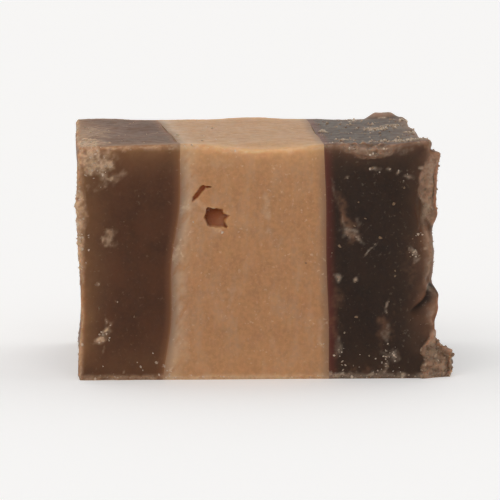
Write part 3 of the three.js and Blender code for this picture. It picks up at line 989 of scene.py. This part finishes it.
def new_material(name):
    """An empty node material and its Principled shader."""
    made = bpy.data.materials.new(name)
    made.use_nodes = True
    made.node_tree.nodes.clear()
    shader = add(made.node_tree, "ShaderNodeBsdfPrincipled")
    add(made.node_tree, "ShaderNodeOutputMaterial", None, {"Surface": shader.outputs[0]})
    return made, shader


def fudge_material(name, look):
    """Cut fudge: sugar crystals in fat, cut by wire. Light sinks in and glows at thin edges, the cut
    is satin and mottled, and dry crumbs and bloom on it are pale."""
    made, shader = new_material(name)
    tree = made.node_tree
    seam_mm = value_of(tree, "seam_mm")
    crystals = ranged(tree, pattern(tree, look["crystal_mm"], 4), 0.38, 0.66)
    strokes = ranged(tree, pattern(tree, 1.1, 3, (1, 1, 0.3)), 0.42, 0.7, 0.0, look["stroke_show"])
    torn = times(tree, value_of(tree, "torn"), look["torn_show"])
    flecks = ranged(tree, pattern(tree, 0.36, 3), 0.59, 0.72, 0.0, look["fleck_show"])
    pale = times(tree, value_of(tree, "pale"), look["pale_show"])
    coats = (
        (ranged(tree, pattern(tree, look["mottle_mm"]), 0.35, 0.65), "deep"),
        (strokes, "seam_pale"),
        (times(tree, crystals, look["crystal_show"]), "crystal"),
        (times(tree, value_of(tree, "haze"), 0.75), "seam_pale"),
        (ranged(tree, seam_mm, 0.0, look["seam_reach_mm"], look["seam_show"], 0.0), "seam"),
        (ranged(tree, seam_mm, 0.0, 0.25, 0.55, 0.0), "merged"),
        (times(tree, value_of(tree, "glow"), ranged(tree, pattern(tree, 0.8), 0.3, 0.7, 0.8)), "glow"),
        # painted shade in the bubble, the cracks and the recess under the curl's edge
        (times(tree, value_of(tree, "hole"), 0.95), "hole"),
        (times(tree, torn, ranged(tree, pattern(tree, 0.5, 5), 0.35, 0.6, 0.5)), "torn"),
        (times(tree, flecks, ranged(tree, pattern(tree, 3.0), 0.4, 0.62, 0.25)), "pale"),
        (times(tree, pale, ranged(tree, pattern(tree, 0.25, 4), 0.3, 0.62, 0.6)), "pale"),
    )
    body = look["body"]
    for share, shade in coats:
        body = mixed(tree, share, body, look[shade])
    tree.links.new(body, shader.inputs["Base Color"])
    gloss, matt = look["roughness"] - 0.06, look["roughness"] + 0.08
    satin = ranged(tree, pattern(tree, 0.9, 4), 0.3, 0.7, gloss, matt)
    tree.links.new(satin, shader.inputs["Roughness"])
    depth = ranged(tree, seam_mm, 0.0, 2 * look["scatter_mm"], 0.02, 1.0)
    tree.links.new(times(tree, depth, look["scatter_mm"] * MM), shader.inputs["Subsurface Scale"])
    shader.inputs["Subsurface Weight"].default_value = 1.0
    shader.inputs["Subsurface Radius"].default_value = look["scatter_rgb"]
    shader.inputs["IOR"].default_value = look["ior"]
    fine = pattern(tree, look["bump_mm"], 4)
    settings = {"Strength": look["bump_strength"], "Distance": 0.03 * MM}
    bump = add(tree, "ShaderNodeBump", settings, {"Height": fine})
    tree.links.new(bump.outputs[0], shader.inputs["Normal"])
    return made


def crumb_material(name, palest, deepest, roughness):
    """Dry crumbs: many crystal faces each way, so they are matt, and each has its own shade."""
    made, shader = new_material(name)
    tree = made.node_tree
    shade = value_of(tree, "shade")
    colour = mixed(tree, shade, palest, deepest)
    blotch = ranged(tree, pattern(tree, 0.15, 3), 0.35, 0.65, 0.0, 0.35)
    tree.links.new(mixed(tree, blotch, colour, deepest), shader.inputs["Base Color"])
    shader.inputs["Roughness"].default_value = roughness
    shader.inputs["IOR"].default_value = 1.32
    shader.inputs["Subsurface Weight"].default_value = 0.6
    shader.inputs["Subsurface Radius"].default_value = (1.0, 0.85, 0.7)
    shader.inputs["Subsurface Scale"].default_value = 0.06 * MM
    return made


def look_of(kind, colours):
    """The look of one of the three fudges, read from the tables."""
    at = KINDS.index(kind)
    own = getattr(colours, kind)
    look = {key: row[at] for key, row in LOOKS.items()}
    for key, row in SHADES.items():
        shade = row[at]
        if not isinstance(shade, str):
            look[key] = [c * shade for c in own]
        else:
            look[key] = linear(shade) if shade[0] == "#" else getattr(colours, shade)
    return look


def length(name, description, mm):
    """A setting for a small length, given in mm."""
    return FloatProperty(
        name=name, description=description, default=mm * MM, unit="LENGTH", precision=6
    )


def colour(name, description, hex_colour):
    """A setting for a colour, given as an sRGB hex value."""
    default = linear(hex_colour)
    return FloatVectorProperty(name=name, description=description, default=default, subtype="COLOR")


class FudgeSizes(bpy.types.PropertyGroup):
    """Sizes of the cut fudge's relief and of its holes."""

    grain_height: length("Grain height", "How far sugar grains stand from the cut faces", 0.018)
    drag_height: length("Drag line height", "How high the wire's drag lines are", 0.028)
    wrinkle_height: length("Wrinkle height", "How high the wrinkles of the two uncut faces are", 0.07)
    lump_height: length("Lump height", "How high the broad lumps of every face are", 0.035)
    edge_wear: length("Edge wear", "How deep the chips along the edges are", 0.35)
    smear_height: length("Smear height", "How high the crust of the pale smears is", 0.17)
    bubble_depth: length("Bubble depth", "Depth of the burst bubble in the caramel", 1.1)
    crack_depth: length("Crack depth", "Depth of the crack in the caramel", 0.32)
    crumb_count: IntProperty(
        name="Crumbs",
        description="How many loose crumbs stick to the cube",
        default=1500,
        min=1,
    )


class FudgeColours(bpy.types.PropertyGroup):
    """Colours of the three fudges, of the dark one's bloom and of the table."""

    milk: colour("Milk chocolate fudge", "Colour of the left layer", "#57321a")
    caramel: colour("Caramel fudge", "Colour of the middle layer", "#b7865b")
    dark: colour("Dark chocolate fudge", "Colour of the right layer", "#2f1c0f")
    bloom: colour("Bloom", "Colour of the pale smears on the dark layer", "#c4ad96")
    table: colour("Table", "Colour of the table top", "#f9f8f7")


class FudgeStage(bpy.types.PropertyGroup):
    """Where the camera stands and how bright the light is."""

    distance: FloatProperty(
        name="Camera distance",
        description="From the middle of the cube to the camera, along the table",
        default=0.534,
        unit="LENGTH",
    )
    height: FloatProperty(
        name="Camera height",
        description="Height of the camera above the table",
        default=0.071,
        unit="LENGTH",
    )
    turn: FloatProperty(
        name="Camera turn",
        description="How far the camera stands to the left of the cube's own front",
        default=math.radians(2.7),
        subtype="ANGLE",
    )
    overhead: FloatProperty(
        name="Overhead light",
        description="Strength of the soft light from above the front",
        default=1.12,
    )
    surround: FloatProperty(
        name="White backdrop",
        description="Brightness of the room behind the cube",
        default=1.0,
    )
    dim_side: FloatProperty(
        name="Dim side",
        description="Brightness of the room behind the camera",
        default=0.2,
    )


def make_layer(context, kind, node, slot_name):
    """Makes one layer, and gives it its material and its place in the frame."""
    made = layer_piece(slot_name, LAYERS[kind], context.scene.fudge_sizes)
    look = look_of(kind, context.scene.fudge_colours)
    made.data.materials.append(fudge_material(MATERIALS[KINDS.index(kind)], look))
    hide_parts(node)
    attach(made, "root")
    return {"FINISHED"}


class FUDGE_OT_milk_layer(bpy.types.Operator):
    """Make the milk chocolate layer, on the left"""

    bl_idname = "fudge.milk_layer"
    bl_label = "Milk chocolate layer"

    def execute(self, context):
        return make_layer(context, "milk", "milk_layer", "milk_fudge")


class FUDGE_OT_caramel_layer(bpy.types.Operator):
    """Make the caramel layer, in the middle, with its burst bubble and crack"""

    bl_idname = "fudge.caramel_layer"
    bl_label = "Caramel layer"

    def execute(self, context):
        return make_layer(context, "caramel", "caramel_layer", "caramel_fudge")


class FUDGE_OT_dark_layer(bpy.types.Operator):
    """Make the dark chocolate layer, on the right, with its torn corner"""

    bl_idname = "fudge.dark_layer"
    bl_label = "Dark chocolate layer"

    def execute(self, context):
        return make_layer(context, "dark", "dark_layer", "dark_fudge")


class FUDGE_OT_crumbs(bpy.types.Operator):
    """Strew sugar crumbs and chocolate crumbs over the finished layers"""

    bl_idname = "fudge.crumbs"
    bl_label = "Crumbs"

    def execute(self, context):
        rng = np.random.default_rng(21)
        count = context.scene.fudge_sizes.crumb_count
        shares = {"milk_fudge": 0.22, "caramel_fudge": 0.06, "dark_fudge": 0.68}
        shades = {"milk_fudge": (0.15, 0.5), "caramel_fudge": (0, 0.2), "dark_fudge": (0.6, 1.0)}
        sugar, torn = [], []
        for name, share in shares.items():
            points, normals, values = surface_data(name)
            above = points[:, 2] > 0.02
            outside = above & (values["seam_mm"] > 0.15) & (values["hole"] < 0.05)
            outside = outside & ((points[:, 1] < BACK - 1.2) | (points[:, 2] < HEIGHT - 1))
            at_foot = smooth(1 - points[:, 2] / 0.6) * (points[:, 1] < FRONT + 0.6)
            at_foot = at_foot * (0.3 + 0.7 * (name == "dark_fudge"))
            upward = 0.04 * (normals[:, 2] > 0.7) * (name == "dark_fudge")
            laid_on = 0.0015 + values["pale"] ** 2 + 0.2 * values["torn"] + at_foot + upward
            laid = (int(count * share), 0.04, 0.15, 2.6, shades[name])
            sugar.append(strewn(rng, points, normals, outside * laid_on, *laid))
            if name == "dark_fudge":
                weights = outside * (values["torn"] > 0.5) * (0.06 + (points[:, 2] < 3.5))
                laid = (count // 6, 0.05, 0.22, 2.4, (0, 1))
                torn.append(strewn(rng, points, normals, weights, *laid))
                weights = outside * (normals[:, 2] > 0.7) * values["pale"] ** 3
                laid = (count // 3, 0.06, 0.2, 2.0, (0, 0.3))
                sugar.append(strewn(rng, points, normals, weights, *laid))
            front = points[:, 1] < FRONT + 0.5
            for x, z, spread, number in CRUMB_CLUSTERS:
                away = np.hypot(points[:, 0] - x, points[:, 2] - z)
                weights = np.exp(-((away / spread) ** 2)) * front * outside
                if weights.max() > 0.9:
                    laid = (number, 0.05, 0.15, 1.5, (0, 0.55))
                    sugar.append(strewn(rng, points, normals, weights, *laid))
            for x, z, radius in BRIGHT_CRUMBS:  # the ones near the foot are paler
                away = np.hypot(points[:, 0] - x, points[:, 2] - z) + 100 * ~front
                nearest = away.argmin()
                if away[nearest] < 0.2:
                    size_and_shade = np.array([radius * 1.1]), np.array([0.95 if z > 5 else 0.55])
                    sugar.append((points[[nearest]], normals[[nearest]], *size_and_shade))
        rows = [np.concatenate(parts) for parts in zip(*sugar)]
        made = crumb_piece("sugar_crumbs", *rows, rng, 0, 0.38, 0.45)
        made.data.materials.append(
            crumb_material("dry_sugar_crumbs", linear("#e6d1bb"), linear("#84664b"), 0.6)
        )
        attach(made, "root")
        rows = [np.concatenate(parts) for parts in zip(*torn)]
        made = crumb_piece("chocolate_crumbs", *rows, rng, 1, 0.3, 0.45)
        made.data.materials.append(
            crumb_material("dry_chocolate_crumbs", linear("#c4a78c"), linear("#6b5140"), 0.55)
        )
        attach(made, "root")
        return {"FINISHED"}


class FUDGE_OT_stage(bpy.types.Operator):
    """Set the table, the soft light and the camera"""

    bl_idname = "fudge.stage"
    bl_label = "Table, light and camera"

    def execute(self, context):
        scene, stage = context.scene, context.scene.fudge_stage
        corners = np.array([[-1, -1, 0], [1, -1, 0], [1, 1, 0], [-1, 1, 0]]) * TABLE_REACH
        table = mesh_object("table", corners.astype(float), [np.array([[0, 1, 2, 3]])])
        material, shader = new_material("backlit_opal_acrylic")
        shader.inputs["Base Color"].default_value = (*scene.fudge_colours.table, 1)
        shader.inputs["Roughness"].default_value = 0.8
        shader.inputs["Emission Color"].default_value = (1, 1, 1, 1)
        shader.inputs["Emission Strength"].default_value = 0.17
        table.data.materials.append(material)
        world = bpy.data.worlds.new("white_room")
        world.use_nodes = True
        tree = world.node_tree
        heading = add(tree, "ShaderNodeTexCoord").outputs["Generated"]
        parts = add(tree, "ShaderNodeSeparateXYZ", None, {"Vector": heading})
        strength = ranged(tree, parts.outputs["Y"], -0.7, 0.5, stage.dim_side, stage.surround)
        strength = times(tree, strength, ranged(tree, parts.outputs["Z"], 0.05, 0.6, 0.62, 0.9))
        tree.links.new(strength, tree.nodes["Background"].inputs["Strength"])
        low = ranged(tree, parts.outputs["Z"], 0.05, 0.55, 1.0, 0.0)
        far = times(tree, low, ranged(tree, parts.outputs["Y"], 0.0, 0.6))
        tint = mixed(tree, far, (1, 1, 1), linear("#fff6e8"))
        tree.links.new(tint, tree.nodes["Background"].inputs["Color"])
        scene.world = world
        lamp = bpy.data.lights.new("overhead", "SUN")
        lamp.energy = stage.overhead
        lamp.angle = LIGHT_SPREAD
        overhead = bpy.data.objects.new("overhead", lamp)
        overhead.rotation_euler = LIGHT_TURN
        scene.collection.objects.link(overhead)
        camera = bpy.data.objects.new("camera", bpy.data.cameras.new("camera"))
        camera.data.lens = LENS
        camera.data.clip_start, camera.data.clip_end = 0.01, 50
        behind, aside = -stage.distance * math.cos(stage.turn), -stage.distance * math.sin(stage.turn)
        camera.location = (aside, behind, stage.height)
        aim = Vector(AIM) * MM
        camera.rotation_euler = (aim - camera.location).to_track_quat("-Z", "Y").to_euler()
        scene.collection.objects.link(camera)
        scene.camera = camera
        scene.view_settings.view_transform = "Standard"
        return {"FINISHED"}


class FUDGE_PT_panel(bpy.types.Panel):
    """Buttons and settings for the fudge cube"""

    bl_idname = "FUDGE_PT_panel"
    bl_label = "Layered fudge cube"
    bl_space_type = "VIEW_3D"
    bl_region_type = "UI"
    bl_category = "Fudge"

    def draw(self, context):
        for operator in OPERATORS:
            self.layout.operator(operator.bl_idname)
        scene = context.scene
        for group in (scene.fudge_sizes, scene.fudge_colours, scene.fudge_stage):
            for name in group.bl_rna.properties.keys()[2:]:
                self.layout.prop(group, name)


OPERATORS = (
    FUDGE_OT_milk_layer,
    FUDGE_OT_caramel_layer,
    FUDGE_OT_dark_layer,
    FUDGE_OT_crumbs,
    FUDGE_OT_stage,
)
GROUPS = (FudgeSizes, FudgeColours, FudgeStage)


def register():
    for cls in (*GROUPS, *OPERATORS, FUDGE_PT_panel):
        bpy.utils.register_class(cls)
    bpy.types.Scene.fudge_sizes = PointerProperty(type=FudgeSizes)
    bpy.types.Scene.fudge_colours = PointerProperty(type=FudgeColours)
    bpy.types.Scene.fudge_stage = PointerProperty(type=FudgeStage)


def unregister():
    for name in ("fudge_sizes", "fudge_colours", "fudge_stage"):
        delattr(bpy.types.Scene, name)
    for cls in reversed((*GROUPS, *OPERATORS, FUDGE_PT_panel)):
        bpy.utils.unregister_class(cls)


def main():
    """Makes everything in order."""
    register()
    bpy.ops.fudge.stage()
    bpy.ops.fudge.milk_layer()
    bpy.ops.fudge.caramel_layer()
    bpy.ops.fudge.dark_layer()
    bpy.ops.fudge.crumbs()


if __name__ == "__main__":
    main()
